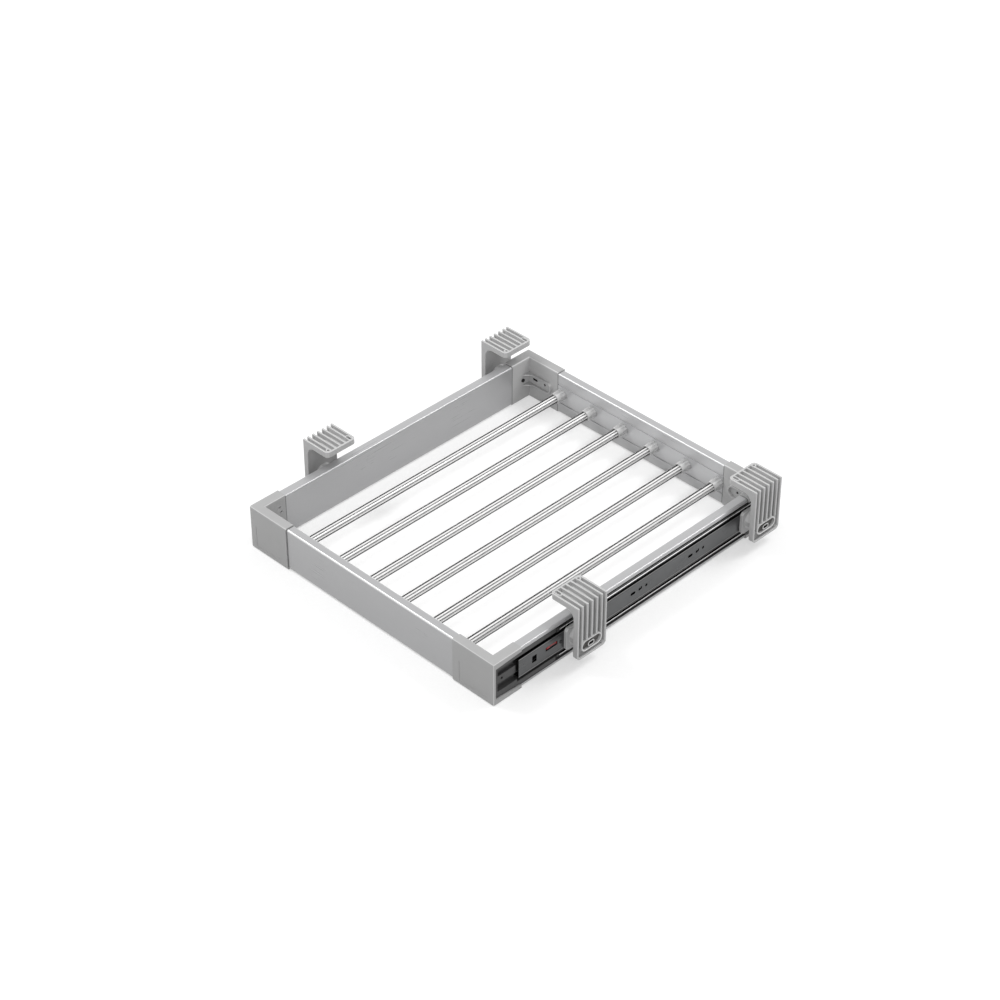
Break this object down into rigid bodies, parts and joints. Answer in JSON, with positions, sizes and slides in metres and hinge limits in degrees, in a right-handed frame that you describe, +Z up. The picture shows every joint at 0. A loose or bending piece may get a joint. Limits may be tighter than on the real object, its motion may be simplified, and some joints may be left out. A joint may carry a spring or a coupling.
{
  "type": "pull-out trouser rack",
  "caption": "Rectangular aluminium frame with fluted hanging bars, running on ball slides between ribbed side brackets for a wardrobe.",
  "frame": {"origin": "midway between the wardrobe's side panels and between the front and back bracket slots, at the height of the slides, 1.5 mm above the slots", "axes": "+X to the user's right, +Y into the wardrobe, +Z up; the rack pulls out along -Y"},
  "size_m": [0.485, 0.5, 0.0955],
  "materials": {
    "rail_aluminium": "fine satin anodised",
    "corner_moulding": "fine silver-grey satin",
    "bracket_moulding": "fine silver-grey satin",
    "bar_metal": "bright fluted tube",
    "slide_steel": "dull zinc plate",
    "bright_steel": "bright",
    "black_steel": "black oxide",
    "dark_plastic": "dark grey, satin",
    "black_plastic": "matte",
    "red_plastic": "semi-gloss"
  },
  "bodies": {
    "cabinet_side": {"left_cabinet_member": "slide_steel", "right_cabinet_member": "slide_steel", "lever_pins": "slide_steel", "spacer_screws": "bright_steel", "front_left_spacer": "bracket_moulding", "front_right_spacer": "bracket_moulding", "back_left_spacer": "bracket_moulding", "back_right_spacer": "bracket_moulding", "front_left_bracket": "bracket_moulding", "front_right_bracket": "bracket_moulding", "back_left_bracket": "bracket_moulding", "back_right_bracket": "bracket_moulding"},
    "rack": {"front_rail": "rail_aluminium", "back_rail": "rail_aluminium", "left_rail": "rail_aluminium", "right_rail": "rail_aluminium", "front_left_cap": "corner_moulding", "front_right_cap": "corner_moulding", "back_left_cap": "corner_moulding", "back_right_cap": "corner_moulding", "bar_1": "bar_metal", "bar_2": "bar_metal", "bar_3": "bar_metal", "bar_4": "bar_metal", "bar_5": "bar_metal", "bar_6": "bar_metal", "front_sockets": "corner_moulding", "back_sockets": "corner_moulding", "corner_screws": "black_steel", "left_channel_insert": "dark_plastic", "right_channel_insert": "dark_plastic", "left_rack_member": "slide_steel", "right_rack_member": "slide_steel", "slide_screws": "bright_steel", "slide_buffers": "black_plastic"},
    "left_middle": {"left_middle_member": "slide_steel"},
    "left_outer_race": {"left_outer_cage": "slide_steel", "left_outer_balls": "bright_steel"},
    "left_inner_race": {"left_inner_cage": "slide_steel", "left_inner_balls": "bright_steel"},
    "left_lever": {"left_release_lever": "red_plastic"},
    "right_middle": {"right_middle_member": "slide_steel"},
    "right_outer_race": {"right_outer_cage": "slide_steel", "right_outer_balls": "bright_steel"},
    "right_inner_race": {"right_inner_cage": "slide_steel", "right_inner_balls": "bright_steel"},
    "right_lever": {"right_release_lever": "red_plastic"}
  },
  "joints": [
    {"name": "rack_slide", "type": "slide", "parent": "cabinet_side", "child": "rack", "axis": [0, -1, 0], "range_m": [0, 0.4]},
    {"name": "left_middle_slide", "type": "slide", "parent": "cabinet_side", "child": "left_middle", "axis": [0, -1, 0], "range_m": [0, 0.2]},
    {"name": "left_outer_race_slide", "type": "slide", "parent": "cabinet_side", "child": "left_outer_race", "axis": [0, -1, 0], "range_m": [0, 0.3]},
    {"name": "left_inner_race_slide", "type": "slide", "parent": "cabinet_side", "child": "left_inner_race", "axis": [0, -1, 0], "range_m": [0, 0.1]},
    {"name": "left_lever_press", "type": "hinge", "parent": "cabinet_side", "child": "left_lever", "pos_m": [-0.2126, -0.1851, -0.001], "axis": [1, 0, 0], "range_deg": [0, 4], "stiffness_Nm_per_rad": 0.08, "springref_deg": -5.73},
    {"name": "right_middle_slide", "type": "slide", "parent": "cabinet_side", "child": "right_middle", "axis": [0, -1, 0], "range_m": [0, 0.2]},
    {"name": "right_outer_race_slide", "type": "slide", "parent": "cabinet_side", "child": "right_outer_race", "axis": [0, -1, 0], "range_m": [0, 0.3]},
    {"name": "right_inner_race_slide", "type": "slide", "parent": "cabinet_side", "child": "right_inner_race", "axis": [0, -1, 0], "range_m": [0, 0.1]},
    {"name": "right_lever_press", "type": "hinge", "parent": "cabinet_side", "child": "right_lever", "pos_m": [0.2126, -0.1851, -0.001], "axis": [1, 0, 0], "range_deg": [0, 4], "stiffness_Nm_per_rad": 0.08, "springref_deg": -5.73}
  ],
  "couplings": [
    {"joint": "left_middle_slide", "follows": "rack_slide", "ratio": 0.5},
    {"joint": "left_outer_race_slide", "follows": "rack_slide", "ratio": 0.75},
    {"joint": "left_inner_race_slide", "follows": "rack_slide", "ratio": 0.25},
    {"joint": "right_middle_slide", "follows": "rack_slide", "ratio": 0.5},
    {"joint": "right_outer_race_slide", "follows": "rack_slide", "ratio": 0.75},
    {"joint": "right_inner_race_slide", "follows": "rack_slide", "ratio": 0.25}
  ]
}
